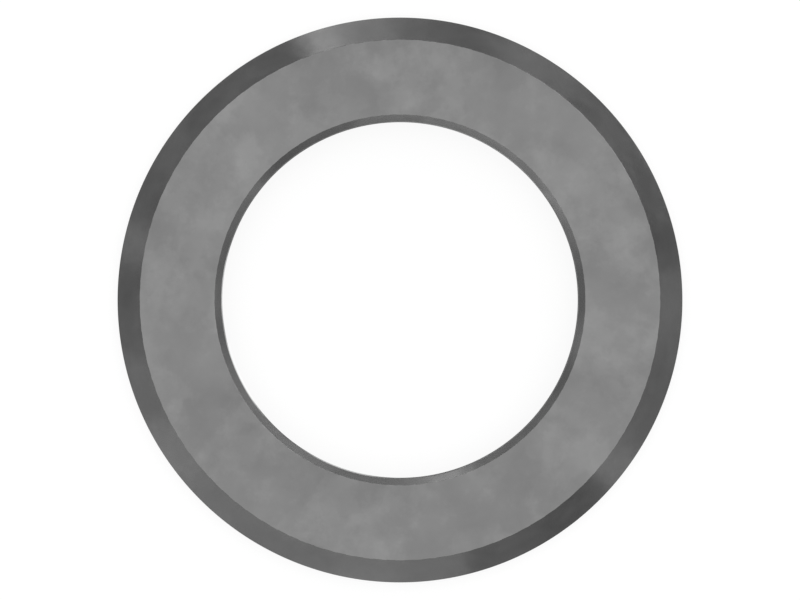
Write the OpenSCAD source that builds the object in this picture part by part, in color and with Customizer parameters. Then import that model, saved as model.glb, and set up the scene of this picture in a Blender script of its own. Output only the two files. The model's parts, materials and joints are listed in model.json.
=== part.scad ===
// Steel ring shim: one turned ring that slips over a shaft and fills a gap along it.
// It lies on its plain back face, with the bevelled front face up.
// The whole ring is one section, turned about the Z axis.

/* [Ring] */
// Outside diameter, across the rim
outer_d = 48; // [40:0.5:60]
// Diameter of the bore, a clearance hole for a 30 mm shaft
bore_d = 30.25; // [20:0.25:32]
// Thickness, from the back face to the front face
thickness = 3; // [2.8:0.1:8]

/* [Front bevels] */
// Width of the wide bevel round the rim, along the radius
rim_bevel = 2; // [0.5:0.1:2.2]
// Width of the narrow bevel round the bore, along the radius
bore_bevel = 0.55; // [0.1:0.05:1.5]
// Slope of both bevels, from the front face
bevel_angle = 45; // [20:1:48]

/* [Back edges] */
// Width of the small 45 degree breaks on both edges of the back face
edge_break = 0.2; // [0.05:0.05:0.3]

/* [Hidden] */

facets = 180;
steel_grey = [0.53, 0.53, 0.53];

rim_r = outer_d / 2;
bore_r = bore_d / 2;

// How far down a bevel of this width reaches, from the front face
function bevel_depth(width) = width * tan(bevel_angle);

// Half of the ring, cut through its axis, as [radius, height]
ring_section = [
    [bore_r + edge_break, 0],
    [rim_r - edge_break, 0],
    [rim_r, edge_break],
    [rim_r, thickness - bevel_depth(rim_bevel)],
    [rim_r - rim_bevel, thickness],
    [bore_r + bore_bevel, thickness],
    [bore_r, thickness - bevel_depth(bore_bevel)],
    [bore_r, edge_break]
];

// The shim: its section turned once round the shaft's axis
module shim() {
    color(steel_grey)
        rotate_extrude($fn = facets)
            polygon(ring_section);
}

shim();
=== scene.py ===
import json
import logging
import math
from dataclasses import dataclass
from enum import Enum
from typing import Any

import bmesh
import bpy
from mathutils import Color, Matrix, Vector


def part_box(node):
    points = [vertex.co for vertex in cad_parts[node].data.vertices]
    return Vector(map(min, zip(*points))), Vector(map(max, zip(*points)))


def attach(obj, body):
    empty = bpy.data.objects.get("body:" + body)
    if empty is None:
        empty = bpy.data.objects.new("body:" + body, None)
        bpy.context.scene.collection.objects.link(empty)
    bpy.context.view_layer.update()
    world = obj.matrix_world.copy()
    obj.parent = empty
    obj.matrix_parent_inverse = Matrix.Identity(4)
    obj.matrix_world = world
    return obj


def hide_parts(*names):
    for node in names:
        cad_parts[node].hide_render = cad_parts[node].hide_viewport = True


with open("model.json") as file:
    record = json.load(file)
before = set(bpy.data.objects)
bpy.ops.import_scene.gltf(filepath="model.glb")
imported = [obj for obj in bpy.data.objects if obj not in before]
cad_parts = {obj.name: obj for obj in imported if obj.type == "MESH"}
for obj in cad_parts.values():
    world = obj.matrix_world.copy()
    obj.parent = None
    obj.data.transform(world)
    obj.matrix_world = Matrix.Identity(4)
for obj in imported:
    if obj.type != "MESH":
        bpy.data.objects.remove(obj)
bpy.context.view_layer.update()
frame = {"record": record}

# Lengths are in metres. The origin is the middle of the ring's back face, and +Z points up
# through its bore. Azimuths are in degrees, counter-clockwise from +X as the camera sees them.
METRE = 1.0
MM = METRE / 1000
UP = Vector((0, 0, 1))
# Times this, a vector keeps only its level part
LEVEL_PART = (1, 1, 0)

Colour = tuple[float, float, float, float]

log = logging.getLogger("shim")


def grey(tone: float) -> Colour:
    """Gives a shader colour for a grey as a picture shows it.

    Args:
        tone: The grey, from 0 for black to 1 for white.

    Returns:
        The colour in linear light, with an alpha of 1.
    """
    return (*Color((tone, tone, tone)).from_srgb_to_scene_linear(), 1.0)


class Signal:
    """A number that a shader works out at each point. An expression on signals adds Math nodes."""

    def __init__(self, graph: "ShaderGraph", socket: bpy.types.NodeSocket) -> None:
        """Wraps an output socket of one of the graph's nodes."""
        self.graph = graph
        self.socket = socket

    def _math(self, operation: str, first: "Signal | float", second: "Signal | float") -> "Signal":
        """Adds one Math node.

        Args:
            operation: The Math node's operation.
            first: Its first value.
            second: Its second value.

        Returns:
            What the node gives.
        """
        made = self.graph.node("Math", {"operation": operation}, {0: first, 1: second})
        return Signal(self.graph, made.outputs[0])

    def __add__(self, other: "Signal | float") -> "Signal":
        """Gives this signal plus another."""
        return self._math("ADD", self, other)

    def __radd__(self, other: float) -> "Signal":
        """Gives a number plus this signal."""
        return self._math("ADD", other, self)

    def __sub__(self, other: "Signal | float") -> "Signal":
        """Gives this signal less another."""
        return self._math("SUBTRACT", self, other)

    def __rsub__(self, other: float) -> "Signal":
        """Gives a number less this signal."""
        return self._math("SUBTRACT", other, self)

    def __mul__(self, other: "Signal | float") -> "Signal":
        """Gives this signal times another."""
        return self._math("MULTIPLY", self, other)

    def __rmul__(self, other: float) -> "Signal":
        """Gives a number times this signal."""
        return self._math("MULTIPLY", other, self)

    def __truediv__(self, other: "Signal | float") -> "Signal":
        """Gives this signal divided by another."""
        return self._math("DIVIDE", self, other)

    def __rtruediv__(self, other: float) -> "Signal":
        """Gives a number divided by this signal."""
        return self._math("DIVIDE", other, self)


class ShaderGraph:
    """The nodes of one material, or of the world."""

    def __init__(self, owner: bpy.types.Material | bpy.types.World) -> None:
        """Clears the owner's nodes, to start afresh.

        Args:
            owner: The material or the world that the nodes are for.
        """
        owner.use_nodes = True
        self.tree = owner.node_tree
        self.tree.nodes.clear()

    def node(
        self,
        kind: str,
        settings: dict[str, Any] | None = None,
        values: dict[str | int, Any] | None = None,
    ) -> bpy.types.Node:
        """Adds one node.

        Args:
            kind: The node's type, as Blender names it after ShaderNode.
            settings: The node's own settings, which are set first.
            values: A value, a signal or an output socket for each input, by its name or place.

        Returns:
            The new node.
        """
        made = self.tree.nodes.new("ShaderNode" + kind)
        for name, setting in (settings or {}).items():
            setattr(made, name, setting)
        for name, value in (values or {}).items():
            source = value.socket if isinstance(value, Signal) else value
            if isinstance(source, bpy.types.NodeSocket):
                self.tree.links.new(source, made.inputs[name])
            else:
                made.inputs[name].default_value = source
        return made

    def signal(self, node: bpy.types.Node, output: str | int = 0) -> Signal:
        """Wraps one output of a node, by its name or place."""
        return Signal(self, node.outputs[output])

    def here(self) -> bpy.types.NodeSocket:
        """Gives the point being shaded, in the object's own coordinates."""
        return self.node("TexCoord").outputs["Object"]

    def from_axis(self) -> bpy.types.NodeSocket:
        """Gives the level vector from the axis to the point being shaded."""
        values = {0: self.here(), 1: LEVEL_PART}
        return self.node("VectorMath", {"operation": "MULTIPLY"}, values).outputs[0]

    def length(self, vector: bpy.types.NodeSocket) -> Signal:
        """Gives the length of a vector."""
        return self.signal(self.node("VectorMath", {"operation": "LENGTH"}, {0: vector}), "Value")

    def facing(self, azimuth: float) -> Signal:
        """Gives the cosine of the angle round the axis between the point and an azimuth.

        Args:
            azimuth: The azimuth, in degrees.

        Returns:
            The cosine, 1 where the point lies that way from the axis.
        """
        way = self.node("VectorMath", {"operation": "NORMALIZE"}, {0: self.from_axis()})
        angle = math.radians(azimuth)
        values = {0: way.outputs[0], 1: (math.cos(angle), math.sin(angle), 0.0)}
        return self.signal(self.node("VectorMath", {"operation": "DOT_PRODUCT"}, values), "Value")

    def between(self, amount: Signal, low: Colour, high: Colour) -> bpy.types.NodeSocket:
        """Mixes two colours.

        Args:
            amount: 0 for the first colour and 1 for the second.
            low: The first colour.
            high: The second colour.

        Returns:
            The mixed colour's socket.
        """
        settings = {"data_type": "RGBA"}
        return self.node("Mix", settings, {"Factor": amount, "A": low, "B": high}).outputs["Result"]

    def step(self, value: Signal, start: float, end: float) -> Signal:
        """Gives a smooth step.

        Args:
            value: What the step follows.
            start: The value at which the step leaves 0.
            end: The value at which the step reaches 1.

        Returns:
            The step, from 0 to 1.
        """
        settings = {"interpolation_type": "SMOOTHSTEP"}
        values = {"Value": value, "From Min": start, "From Max": end}
        return self.signal(self.node("MapRange", settings, values), "Result")

    def noise(
        self,
        point: bpy.types.NodeSocket,
        size: float,
        detail: float,
        roughness: float = 0.5,
    ) -> Signal:
        """Gives a smooth noise.

        Args:
            point: Where the noise is read.
            size: The size of its largest lumps.
            detail: How many times finer lumps are added, each half as large as the last.
            roughness: How strong each finer set is, against the one before it.

        Returns:
            The noise, from 0 to 1.
        """
        values = {"Vector": point, "Scale": 1 / size, "Detail": detail, "Roughness": roughness}
        return self.signal(self.node("TexNoise", values=values))

    def blend(
        self,
        share: Signal | float,
        first: bpy.types.Node,
        second: bpy.types.Node,
    ) -> bpy.types.Node:
        """Mixes two shaders: a share of 0 gives the first and 1 the second."""
        return self.node("MixShader", values={0: share, 1: first.outputs[0], 2: second.outputs[0]})


@dataclass(frozen=True)
class CloudLayer:
    """One layer of the steel's mottle: a slice of a noise pattern.

    Attributes:
        size: The size of the largest clouds.
        turn: How far the slice is turned about the ring's axis, in degrees, so that no two layers
            line up.
        rise: How far up the noise the slice is cut, so that no two layers are alike.
        weight: Its share in the sum of the layers.
        detail: How many times finer clouds are added, each half as large as the last.
        roughness: How strong each finer set is, against the one before it.
        patchy: True where the clouds are lumpy patches, and the steel between them is plain.
    """

    size: float
    turn: float
    rise: float
    weight: float
    detail: float = 8.0
    roughness: float = 0.61
    patchy: bool = False

    # The levels of the noise at which a patch starts and is full
    PATCH_START = 0.50
    PATCH_END = 0.61

    def draw(self, graph: ShaderGraph) -> Signal:
        """Gives the layer's share of the mottle.

        Args:
            graph: The graph that the layer goes into.

        Returns:
            The share, from 0 to the layer's weight.
        """
        place = {
            "Vector": graph.here(),
            "Location": (0.0, 0.0, self.rise),
            "Rotation": (0.0, 0.0, math.radians(self.turn)),
        }
        point = graph.node("Mapping", values=place).outputs["Vector"]
        level = graph.noise(point, self.size, self.detail, self.roughness)
        if self.patchy:
            level = graph.step(level, self.PATCH_START, self.PATCH_END)
        return level * self.weight


class Mottle:
    """The soft cloudy mottle that runs over the whole ring, from broad clouds to fine grains."""

    LAYERS = (
        CloudLayer(9.0 * MM, turn=20, rise=3.6, weight=0.47, detail=5, roughness=0.5),
        CloudLayer(7.0 * MM, turn=50, rise=3.7, weight=0.1, patchy=True),
        CloudLayer(4.5 * MM, turn=80, rise=3.8, weight=0.085, patchy=True),
        CloudLayer(3.0 * MM, turn=110, rise=3.9, weight=0.32, detail=4, roughness=0.5),
        CloudLayer(3.0 * MM, turn=140, rise=4.0, weight=0.06, patchy=True),
    )
    # The average and the spread of the layers' sum
    MIDDLE = 0.457
    SPREAD = 0.066

    @classmethod
    def draw(cls, graph: ShaderGraph) -> Signal:
        """Gives the mottle: about 0 on average, and mostly between -2 and 2."""
        layers = [layer.draw(graph) for layer in cls.LAYERS]
        return (sum(layers[1:], layers[0]) - cls.MIDDLE) / cls.SPREAD


@dataclass(frozen=True)
class BrightArc:
    """A stretch round the ring where the steel is rubbed bright.

    Attributes:
        azimuth: The way to its middle, in degrees.
        span: How far it runs round the ring, in degrees, to the middle of its soft ends.
        shine: How bright it is rubbed: 0 for not at all and 1 for as smooth as it gets.
    """

    azimuth: float
    span: float
    shine: float

    # How far a soft end reaches to either side of its middle, in degrees
    FADE = 6.0

    def draw(self, graph: ShaderGraph) -> Signal:
        """Gives the arc's shine at each point."""
        outer, inner = (math.cos(math.radians(self.span / 2 + end)) for end in (self.FADE, -self.FADE))
        return graph.step(graph.facing(self.azimuth), outer, inner) * self.shine


@dataclass(frozen=True)
class SteelFinish:
    """Bare steel, mottled and finely marked. What isn't given is as turning leaves it.

    Attributes:
        name: The material's name.
        tone: The middle grey, as a picture shows it.
        roughness: The middle roughness.
        roughness_drift: How far one step of the mottle takes the roughness down or up.
        mottle: How far one step of the mottle takes the grey up or down.
        grain_size: The size of the finest marks.
        grain_height: The height of the finest marks.
        wave_height: The height of the slow waves that bend what the steel mirrors.
        lines: True where the marks run round the ring, as a turning tool leaves them.
        rubbed: The stretches that are rubbed bright.
    """

    name: str
    tone: float
    roughness: float
    roughness_drift: float = 0.005
    mottle: float = 0.008
    grain_size: float = 0.08 * MM
    grain_height: float = 0.0001 * MM
    wave_height: float = 0.05 * MM
    lines: bool = True
    rubbed: tuple[BrightArc, ...] = ()

    RUBBED_ROUGHNESS = 0.08
    # How many steps of the mottle the greys follow, up and down
    MOTTLE_REACH = 4.0
    # How many times longer than wide the marks of turning are
    LINE_STRETCH = 40.0
    GRAIN_DETAIL = 2.0
    WAVE_SIZE = 3.5 * MM
    WAVE_DETAIL = 2.0

    def rows(self, graph: ShaderGraph) -> bpy.types.NodeSocket:
        """Gives the point being shaded, with lengths round the ring drawn out.

        Args:
            graph: The graph that the nodes go into.

        Returns:
            The point, at which a noise runs in lines round the ring.
        """
        split = graph.node("SeparateXYZ", values={"Vector": graph.here()})
        rows = {
            "X": graph.length(graph.from_axis()),
            "Y": graph.signal(split, "X") / self.LINE_STRETCH,
            "Z": graph.signal(split, "Z"),
        }
        return graph.node("CombineXYZ", values=rows).outputs[0]

    def grain(self, graph: ShaderGraph) -> Signal:
        """Gives the height of the finest marks, from 0 to 1."""
        point = self.rows(graph) if self.lines else graph.here()
        return graph.noise(point, self.grain_size, self.GRAIN_DETAIL)

    def waves(self, graph: ShaderGraph) -> Signal:
        """Gives the height of the slow waves, from 0 to 1."""
        return graph.noise(graph.here(), self.WAVE_SIZE, self.WAVE_DETAIL)

    def material(self) -> bpy.types.Material:
        """Makes the finish's material.

        Returns:
            The material.
        """
        made = bpy.data.materials.new(self.name)
        graph = ShaderGraph(made)
        clouds = Mottle.draw(graph)
        reach = self.mottle * self.MOTTLE_REACH
        lightness = clouds / (2 * self.MOTTLE_REACH) + 1 / 2
        grain, waves = self.grain(graph), self.waves(graph)
        height = grain * self.grain_height + waves * self.wave_height
        bump = {"Height": height, "Distance": METRE}
        roughness = self.roughness - clouds * self.roughness_drift
        for arc in self.rubbed:
            roughness = roughness - arc.draw(graph) * (self.roughness - self.RUBBED_ROUGHNESS)
        steel = {
            "Base Color": graph.between(lightness, grey(self.tone - reach), grey(self.tone + reach)),
            "Metallic": 1.0,
            "Roughness": roughness,
            "Normal": graph.node("Bump", values=bump).outputs["Normal"],
        }
        surface = graph.node("BsdfPrincipled", values=steel)
        graph.node("OutputMaterial", values={"Surface": surface.outputs["BSDF"]})
        return made


class Face(Enum):
    """The finish of each kind of face on the ring; the darker greys off the flat faces are painted
    shade.
    """

    FLAT = SteelFinish(
        name="dull_steel",
        tone=0.530,
        roughness=0.38,
        roughness_drift=0.01,
        mottle=0.0143,
        grain_size=0.12 * MM,
        grain_height=0.0002 * MM,
        wave_height=0.02 * MM,
        lines=False,
    )
    # The rim's bevel and wall are one steel with the flat faces, painted darker as shade for the dark
    # surroundings they mirror
    RIM = SteelFinish(name="turned_steel", tone=0.376, roughness=0.18)
    # The bore's bevel is painted darker than the flat faces as shade, and lighter than the rim's as
    # painted light against the far side's shade
    BORE_EDGE = SteelFinish(name="bore_edge_steel", tone=0.436, roughness=0.26)
    # The bore wall is one steel with the flat faces, painted darker as shade; its bright stretches come
    # from lower roughness alone
    BORE_WALL = SteelFinish(
        name="bore_wall_steel",
        tone=0.40,
        roughness=0.90,
        roughness_drift=0.01,
        rubbed=(
            BrightArc(azimuth=64, span=56, shine=0.4),
            BrightArc(azimuth=176, span=22, shine=0.75),
            BrightArc(azimuth=205, span=25, shine=1.0),
            BrightArc(azimuth=251, span=22, shine=0.8),
        ),
    )

    @property
    def place(self) -> int:
        """Gives the finish's place among the piece's materials."""
        return list(Face).index(self)


@dataclass
class RingShim:
    """The ring: one turned piece, with a wide bevel round its rim and a narrow one at its bore.

    Attributes:
        outer_radius: The radius of the rim.
        bore_radius: The radius of the bore.
        thickness: From the back face to the front face.
        rim_bevel: How far the bevel round the rim goes in and down.
        bore_bevel: How far the bevel at the bore goes out and down.
        edge_break: The small break on both edges of the back face.
        edge_round: How far in the rounding of each edge starts.
        edge_steps: The steps of that rounding.
        facets: The steps of the ring, once round.
    """

    outer_radius: float
    bore_radius: float
    thickness: float
    rim_bevel: float
    bore_bevel: float
    edge_break: float
    edge_round: float = 0.03 * MM
    edge_steps: int = 3
    facets: int = 360

    NAME = "shim_ring"
    NODE = "shim"
    BODY = "root"
    SLOT = "steel"
    INSIDE_CAD = 0.001 * MM
    # An edge that turns by more than this is rounded
    SHARP = math.radians(20)
    # A face that leans less than this counts as level, or as a straight wall
    LEAN = math.radians(5)
    # How strongly the wide faces at a corner outweigh the narrow ones
    AREA_POWER = 2

    @classmethod
    def from_frame(cls, record: dict[str, Any]) -> "RingShim":
        """Takes the ring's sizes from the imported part.

        Args:
            record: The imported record. Its mounts called bore and rim are the straight walls
                between the bevels and the breaks on the back edges.

        Returns:
            The ring.
        """
        lowest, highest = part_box(cls.NODE)
        half_widths = (-lowest.x, highest.x, -lowest.y, highest.y)
        walls = {mount["name"]: mount for mount in record["mounts"]}
        bore, rim = walls["bore"], walls["rim"]
        bore_half, rim_half = (wall["dims"]["length_mm"] * MM / 2 for wall in (bore, rim))
        bore_middle, rim_middle = (wall["pos_m"][2] for wall in (bore, rim))
        return cls(
            outer_radius=min(half_widths) - cls.INSIDE_CAD,
            bore_radius=bore["dims"]["r_mm"] * MM,
            thickness=highest.z - lowest.z,
            rim_bevel=highest.z - (rim_middle + rim_half),
            bore_bevel=highest.z - (bore_middle + bore_half),
            edge_break=bore_middle - bore_half - lowest.z,
        )

    def section(self) -> list[Vector]:
        """Gives the corners of half of the ring, cut through its axis.

        Returns:
            The corners, from the bore along the back face and round to the bore again.
        """
        return [
            Vector((self.bore_radius + self.edge_break, 0, 0)),
            Vector((self.outer_radius - self.edge_break, 0, 0)),
            Vector((self.outer_radius, 0, self.edge_break)),
            Vector((self.outer_radius, 0, self.thickness - self.rim_bevel)),
            Vector((self.outer_radius - self.rim_bevel, 0, self.thickness)),
            Vector((self.bore_radius + self.bore_bevel, 0, self.thickness)),
            Vector((self.bore_radius, 0, self.thickness - self.bore_bevel)),
            Vector((self.bore_radius, 0, self.edge_break)),
        ]

    def turn(self) -> bmesh.types.BMesh:
        """Turns the section once round the axis and rounds its edges.

        Returns:
            The ring, with each face's place among the piece's materials.
        """
        ring = bmesh.new()
        corners = [ring.verts.new(corner) for corner in self.section()]
        sides = [ring.edges.new((corners[i - 1], corner)) for i, corner in enumerate(corners)]
        bmesh.ops.spin(
            ring,
            geom=corners + sides,
            cent=Vector(),
            axis=UP,
            angle=math.tau,
            steps=self.facets,
            use_merge=True,
        )
        bmesh.ops.recalc_face_normals(ring, faces=ring.faces)
        for face in ring.faces:
            face.material_index = self.kind_of(face).place
            face.smooth = True
        bmesh.ops.bevel(
            ring,
            geom=[edge for edge in ring.edges if edge.calc_face_angle() > self.SHARP],
            offset=self.edge_round,
            offset_type="OFFSET",
            affect="EDGES",
            segments=self.edge_steps,
            profile=0.5,
            material=-1,
        )
        return ring

    def kind_of(self, face: bmesh.types.BMFace) -> Face:
        """Tells a face's kind by the way that it looks and its distance from the axis.

        Args:
            face: A face of the ring, before its edges are rounded.

        Returns:
            The face's kind.
        """
        if abs(face.normal.z) > math.cos(self.LEAN):
            return Face.FLAT
        if face.calc_center_median().xy.length > self.bore_radius + self.bore_bevel:
            return Face.RIM
        return Face.BORE_EDGE if face.normal.z > math.sin(self.LEAN) else Face.BORE_WALL

    @classmethod
    def shading_normal(cls, corner: bmesh.types.BMVert) -> Vector:
        """Gives the normal of the widest faces at a corner, so that only the edges look round.

        Args:
            corner: A corner of the ring, whose edges are rounded.

        Returns:
            The normal, in which each face at the corner counts by its area.
        """
        normal = Vector()
        for face in corner.link_faces:
            normal += face.normal * (face.calc_area() / MM**2) ** cls.AREA_POWER
        return normal.normalized()

    def build(self) -> bpy.types.Object:
        """Makes the ring's piece, which stands for the CAD solid.

        Returns:
            The piece, dressed.
        """
        shape = bpy.data.meshes.new(self.NAME)
        ring = self.turn()
        normals = [self.shading_normal(corner) for corner in ring.verts]
        ring.to_mesh(shape)
        ring.free()
        shape.normals_split_custom_set_from_vertices(normals)
        for kind in Face:
            shape.materials.append(kind.value.material())
        piece = bpy.data.objects.new(self.NAME, shape)
        bpy.context.scene.collection.objects.link(piece)
        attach(piece, self.BODY)
        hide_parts(self.NODE)
        return piece


@dataclass(frozen=True)
class SoftBox:
    """An evenly lit panel that faces the ring.

    Attributes:
        name: The lamp's name.
        azimuth: The way to its middle, in degrees.
        span: How wide it looks from the ring, in degrees.
        glow: How bright it looks, where 1 is white.
        bottom: How high its lower edge looks from the ring, in degrees.
        top: How high its upper edge looks from the ring, in degrees.
    """

    name: str
    azimuth: float
    span: float
    glow: float
    bottom: float = 0.0
    top: float = 20.0

    DISTANCE = 4.0
    LOFT_BOTTOM = 8.0
    LOFT_TOP = 28.0

    @classmethod
    def loft(cls, name: str, azimuth: float, span: float, glow: float) -> "SoftBox":
        """Gives a panel that hangs higher than the others."""
        return cls(name, azimuth, span, glow, bottom=cls.LOFT_BOTTOM, top=cls.LOFT_TOP)

    def width(self, angle: float) -> float:
        """Gives the real width of what looks this many degrees wide at the panel's distance."""
        return 2 * self.DISTANCE * math.tan(math.radians(angle / 2))

    def hang(self) -> None:
        """Hangs the panel at its place, facing the ring."""
        lamp = bpy.data.lights.new(self.name, "AREA")
        lamp.shape = "RECTANGLE"
        lamp.size = self.width(self.span)
        lamp.size_y = self.width(self.top - self.bottom)
        # A panel that looks white gives off pi watts from each square metre
        lamp.energy = math.pi * lamp.size * lamp.size_y * self.glow
        round_by, up_by = math.radians(self.azimuth), math.radians((self.bottom + self.top) / 2)
        away = Vector((math.cos(round_by), math.sin(round_by), math.tan(up_by))).normalized()
        holder = bpy.data.objects.new(self.name, lamp)
        holder.location = away * self.DISTANCE
        holder.rotation_mode = "QUATERNION"
        holder.rotation_quaternion = away.to_track_quat("Z", "Y")
        holder.visible_camera = False
        bpy.context.scene.collection.objects.link(holder)


@dataclass
class Studio:
    """The plain pale floor, the dome of soft light over it and the panels round the horizon.

    Attributes:
        floor_radius: The radius of the floor.
        gap: How far under the ring the floor lies, so that the two never meet.
        whiteness: How bright the floor looks where nothing shades it, where 1 is white.
        shade: The share of the floor's look that its shadows act on.
        polish: The roughness of the sheen that the steel sees on the floor.
        sheen: The index of refraction that gives the strength of that sheen.
        horizon: How bright the dome is at the horizon, where 1 is white.
        overhead: How bright the dome is overhead.
        full_height: The height on a dome of radius 1 at which it is as bright as overhead.
    """

    floor_radius: float = 3.5
    gap: float = 0.02 * MM
    whiteness: float = 1.02
    shade: float = 0.16
    polish: float = 0.1
    sheen: float = 1.5
    horizon: float = 0.4
    overhead: float = 1.0
    full_height: float = 0.6

    FLOOR_COLOUR = grey(0.95)
    WHITE = grey(1.0)
    FLOOR_SIDES = 96
    PANELS = (
        SoftBox("right", azimuth=341.5, span=47, glow=0.34),
        SoftBox("right_middle", azimuth=2, span=17, glow=0.17),
        SoftBox("right_below", azimuth=325, span=14, glow=0.14),
        SoftBox("right_below_strip", azimuth=322.5, span=8, glow=0.34),
        SoftBox.loft("upper_right_loft", azimuth=37, span=40, glow=2.4),
        SoftBox.loft("upper_right_loft_strip", azimuth=35, span=18, glow=0.5),
        SoftBox("upper_right", azimuth=60, span=20, glow=0.42),
        SoftBox("upper_right_side", azimuth=42, span=12, glow=0.06),
        SoftBox("upper_right_strip", azimuth=62, span=9, glow=0.3),
        SoftBox.loft("top_loft", azimuth=73, span=26, glow=1.3),
        SoftBox("top_side", azimuth=77, span=14, glow=0.13),
        SoftBox("top", azimuth=97.5, span=28, glow=0.5),
        SoftBox("top_middle", azimuth=100.5, span=20, glow=0.68),
        SoftBox("top_strip", azimuth=106, span=11, glow=0.45),
        SoftBox("top_strip_middle", azimuth=106.5, span=6, glow=1.0),
        SoftBox.loft("upper_left_loft", azimuth=128, span=32, glow=1.2),
        SoftBox("upper_left", azimuth=122.5, span=17, glow=0.1),
        SoftBox("left", azimuth=165, span=48, glow=0.15),
        SoftBox("left_above_strip", azimuth=147, span=10, glow=0.17),
        SoftBox("left_strip", azimuth=167.5, span=9, glow=0.58),
        SoftBox("lower_left_rise", azimuth=236, span=92, glow=0.26),
        SoftBox("lower_left", azimuth=239, span=90, glow=0.26),
        SoftBox("lower_left_middle", azimuth=246, span=76, glow=0.34),
        SoftBox("lower_left_side", azimuth=193.5, span=23, glow=0.1),
        SoftBox("lower_left_strip", azimuth=213, span=14, glow=0.2),
        SoftBox.loft("lower_left_loft", azimuth=214, span=12, glow=0.9),
        SoftBox("bottom_strip", azimuth=231, span=6, glow=0.1),
        SoftBox("bottom_side", azimuth=291, span=20, glow=0.2),
        SoftBox.loft("bottom_loft", azimuth=297, span=20, glow=0.25),
    )

    def floor_material(self) -> bpy.types.Material:
        """Makes the floor's material: white where it is seen, with the ring's shadow kept.

        Returns:
            The material.
        """
        made = bpy.data.materials.new("floor")
        graph = ShaderGraph(made)
        rays = graph.node("LightPath")
        mirrored = graph.signal(rays, "Is Glossy Ray")
        seen = graph.signal(rays, "Is Camera Ray") + mirrored + graph.signal(rays, "Is Transmission Ray")
        glow = graph.node("Emission", values={"Color": self.WHITE, "Strength": self.whiteness})
        lit = graph.node("BsdfDiffuse", values={"Color": self.WHITE})
        plain = graph.node("BsdfDiffuse", values={"Color": self.FLOOR_COLOUR})
        gloss = graph.node("BsdfAnisotropic", values={"Color": self.WHITE, "Roughness": self.polish})
        glancing = graph.signal(graph.node("Fresnel", values={"IOR": self.sheen}))
        look = graph.blend(glancing * mirrored, graph.blend(self.shade, glow, lit), gloss)
        graph.node("OutputMaterial", values={"Surface": graph.blend(seen, plain, look).outputs[0]})
        return made

    def lay_floor(self) -> None:
        """Lays the floor just under the ring."""
        shape = bpy.data.meshes.new("floor")
        disc = bmesh.new()
        bmesh.ops.create_circle(
            disc,
            cap_ends=True,
            segments=self.FLOOR_SIDES,
            radius=self.floor_radius,
            matrix=Matrix.Translation(-UP * self.gap),
        )
        disc.to_mesh(shape)
        disc.free()
        shape.materials.append(self.floor_material())
        floor = bpy.data.objects.new("floor", shape)
        bpy.context.scene.collection.objects.link(floor)

    def light_dome(self) -> None:
        """Lights the world as a dome, soft and bright overhead and darker at the horizon."""
        world = bpy.data.worlds.new("dome")
        bpy.context.scene.world = world
        graph = ShaderGraph(world)
        direction = graph.node("TexCoord").outputs["Generated"]
        height = graph.signal(graph.node("SeparateXYZ", values={"Vector": direction}), "Z")
        rise = graph.step(height, 0.0, self.full_height)
        strength = rise * (self.overhead - self.horizon) + self.horizon
        light = graph.node("Background", values={"Color": self.WHITE, "Strength": strength})
        graph.node("OutputWorld", values={"Surface": light.outputs[0]})

    def build(self) -> None:
        """Builds the whole studio."""
        self.lay_floor()
        self.light_dome()
        for panel in self.PANELS:
            panel.hang()


@dataclass
class SquareOnCamera:
    """The camera, straight above the middle of the ring.

    Attributes:
        rim_pixels: The radius of the rim in the photograph, in pixels.
        image_pixels: The width of the photograph, in pixels.
        stand_off: How far the camera is above the front face, which the sliver of bore wall in
            the photograph gives.
        sensor: The width of the camera's sensor.
    """

    rim_pixels: float = 282.5
    image_pixels: int = 800
    stand_off: float = 0.4
    sensor: float = 36 * MM

    def aim(self, ring: RingShim) -> None:
        """Sets up the camera over a ring, so that the rim has its radius in the photograph.

        Args:
            ring: The ring that it looks down on.
        """
        lens = bpy.data.cameras.new("camera")
        lens.sensor_width = self.sensor / MM
        rim_distance = self.stand_off + ring.rim_bevel
        across = self.rim_pixels / self.image_pixels
        lens.lens = lens.sensor_width * across * rim_distance / ring.outer_radius
        eye = bpy.data.objects.new("camera", lens)
        eye.location = UP * (ring.thickness + self.stand_off)
        bpy.context.scene.collection.objects.link(eye)
        bpy.context.scene.camera = eye


def main() -> None:
    """Builds the ring, the studio and the camera, and reports each piece."""
    logging.basicConfig(level=logging.INFO)
    bpy.context.scene.view_settings.view_transform = "Standard"
    ring = RingShim.from_frame(frame["record"])
    piece = ring.build()
    log.info("%s: %d faces", piece.name, len(piece.data.polygons))
    Studio().build()
    log.info("studio: %d panels", len(Studio.PANELS))
    SquareOnCamera().aim(ring)
    log.info("camera: %.1f mm lens", bpy.context.scene.camera.data.lens)


if __name__ == "__main__":
    main()
